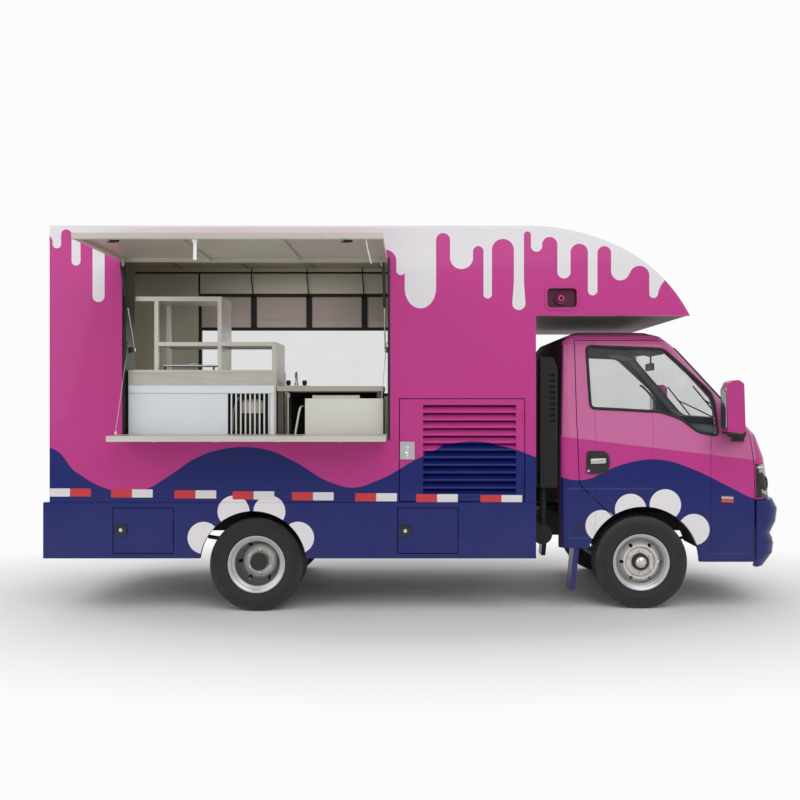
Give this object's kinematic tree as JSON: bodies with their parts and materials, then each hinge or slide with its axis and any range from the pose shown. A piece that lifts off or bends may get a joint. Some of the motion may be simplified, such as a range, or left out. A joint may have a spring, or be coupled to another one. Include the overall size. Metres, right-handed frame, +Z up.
{
  "type": "ice cream truck",
  "caption": "Small cab-over truck with a box body, lifted awning flap, fold-down counter shelf, louvre door and over-cab nose, for selling ice cream.",
  "frame": {"origin": "middle of the footprint on the ground, with the awning and counter out on the right-hand side; the vehicle's centreline is 0.437 m to the left of it", "axes": "+X forward, +Y to the vehicle's left, +Z up"},
  "size_m": [5.4068, 2.894, 2.7759],
  "materials": {
    "body_paint": "gloss paint, pink over navy",
    "skirt_paint": "gloss navy paint",
    "roof_white": "gloss white",
    "steel_frame": "black chassis paint",
    "cast": "cast surface",
    "tyre": "black rubber",
    "rim": "silver wheel paint",
    "plastic": "black moulded plastic",
    "glass": "clear glass",
    "lamp": "clear lamp lens",
    "tail_lamp": "red lens",
    "stainless": "brushed stainless steel",
    "floor_plate": "plate",
    "seat": "dark seat cloth",
    "rubber": "rubber"
  },
  "bodies": {
    "truck": {"chassis_frame": "steel_frame", "leaf_springs": "steel_frame", "front_axle": "cast", "rear_axle": "cast", "engine": "cast", "exhaust": "cast", "fuel_tank": "steel_frame", "cab_shell": "body_paint", "cab_floor": "steel_frame", "front_bumper": "skirt_paint", "headlamps": "lamp", "windscreen": "glass", "wheel_liners": "plastic", "dashboard": "plastic", "seats": "seat", "air_intake": "plastic", "box_side_right": "body_paint", "box_side_left": "body_paint", "box_roof": "roof_white", "box_front": "body_paint", "box_rear": "body_paint", "box_floor": "floor_plate", "skirt_right": "skirt_paint", "skirt_left": "skirt_paint", "rear_skirt": "skirt_paint", "tail_lamps": "tail_lamp", "locker_boxes": "stainless", "equipment_bay": "stainless", "jamb_panels": "stainless", "side_window_frame": "plastic", "side_window_glass": "glass", "display_counter": "stainless", "worktop": "stainless", "horn": "plastic", "mud_flaps": "rubber"},
    "knuckle_left": {"knuckle_left": "cast"},
    "knuckle_right": {"knuckle_right": "cast"},
    "front_wheel_left": {"front_rim_left": "rim", "front_tyre_left": "tyre"},
    "front_wheel_right": {"front_rim_right": "rim", "front_tyre_right": "tyre"},
    "rear_wheels_left": {"rear_rims_left": "rim", "rear_tyres_left": "tyre"},
    "rear_wheels_right": {"rear_rims_right": "rim", "rear_tyres_right": "tyre"},
    "cab_door_left": {"door_left": "body_paint", "door_glass_left": "glass", "mirror_left": "body_paint"},
    "cab_door_right": {"door_right": "body_paint", "door_glass_right": "glass", "mirror_right": "body_paint"},
    "awning": {"awning": "stainless"},
    "strut_barrels": {"strut_barrels": "plastic"},
    "strut_rods": {"strut_rods": "stainless"},
    "counter_shelf": {"counter_shelf": "stainless"},
    "louvre_door": {"louvre_door": "body_paint"},
    "locker_door_rear": {"locker_door_rear": "skirt_paint"},
    "locker_door_front": {"locker_door_front": "skirt_paint"},
    "rear_door": {"rear_door": "body_paint", "rear_door_glass": "glass"}
  },
  "joints": [
    {"name": "steer_left", "type": "hinge", "parent": "truck", "child": "knuckle_left", "pos_m": [1.607, 1.037, 0.338], "axis": [0, 0, 1], "range_deg": [-35, 35]},
    {"name": "steer_right", "type": "hinge", "parent": "truck", "child": "knuckle_right", "pos_m": [1.607, -0.163, 0.338], "axis": [0, 0, 1], "range_deg": [-35, 35]},
    {"name": "spin_front_left", "type": "hinge", "parent": "knuckle_left", "child": "front_wheel_left", "pos_m": [1.607, 1.145, 0.338], "axis": [0, 1, 0], "continuous": true},
    {"name": "spin_rear_left", "type": "hinge", "parent": "truck", "child": "rear_wheels_left", "pos_m": [-1.194, 1.1175, 0.338], "axis": [0, 1, 0], "continuous": true},
    {"name": "cab_door_left", "type": "hinge", "parent": "truck", "child": "cab_door_left", "pos_m": [2.426, 1.257, 1.1], "axis": [0, 0, -1], "range_deg": [0, 65]},
    {"name": "spin_front_right", "type": "hinge", "parent": "knuckle_right", "child": "front_wheel_right", "pos_m": [1.607, -0.271, 0.338], "axis": [0, 1, 0], "continuous": true},
    {"name": "spin_rear_right", "type": "hinge", "parent": "truck", "child": "rear_wheels_right", "pos_m": [-1.194, -0.2435, 0.338], "axis": [0, 1, 0], "continuous": true},
    {"name": "cab_door_right", "type": "hinge", "parent": "truck", "child": "cab_door_right", "pos_m": [2.426, -0.383, 1.1], "axis": [0, 0, 1], "range_deg": [0, 65]},
    {"name": "awning_lift", "type": "hinge", "parent": "truck", "child": "awning", "pos_m": [-1.192, -0.497, 2.545], "axis": [1, 0, 0], "range_deg": [0, 90]},
    {"name": "strut_swing", "type": "hinge", "parent": "awning", "child": "strut_barrels", "pos_m": [-1.192, -0.597, 2.481], "axis": [1, 0, 0], "range_deg": [-103.64, 0]},
    {"name": "strut_slide", "type": "slide", "parent": "strut_barrels", "child": "strut_rods", "axis": [0, -0.4605, 0.8877], "range_m": [0, 0.0936]},
    {"name": "counter_fold", "type": "hinge", "parent": "truck", "child": "counter_shelf", "pos_m": [-1.192, -0.497, 1.24], "axis": [1, 0, 0], "range_deg": [-90, 0]},
    {"name": "louvre_door", "type": "hinge", "parent": "truck", "child": "louvre_door", "pos_m": [0.726, -0.496, 1.168], "axis": [0, 0, 1], "range_deg": [0, 110]},
    {"name": "locker_rear", "type": "hinge", "parent": "truck", "child": "locker_door_rear", "pos_m": [-1.777, -0.502, 0.593], "axis": [0, 0, 1], "range_deg": [0, 100]},
    {"name": "locker_front", "type": "hinge", "parent": "truck", "child": "locker_door_front", "pos_m": [0.256, -0.502, 0.593], "axis": [0, 0, 1], "range_deg": [0, 100]},
    {"name": "rear_door", "type": "hinge", "parent": "truck", "child": "rear_door", "pos_m": [-2.661, 0.851, 1.7], "axis": [0, 0, -1], "range_deg": [0, 110]}
  ],
  "couplings": [
    {"joint": "steer_right", "follows": "steer_left", "ratio": 1},
    {"joint": "strut_swing", "follows": "awning_lift", "ratio": -1.146},
    {"joint": "strut_slide", "follows": "awning_lift", "m_per_rad": 0.058965}
  ]
}
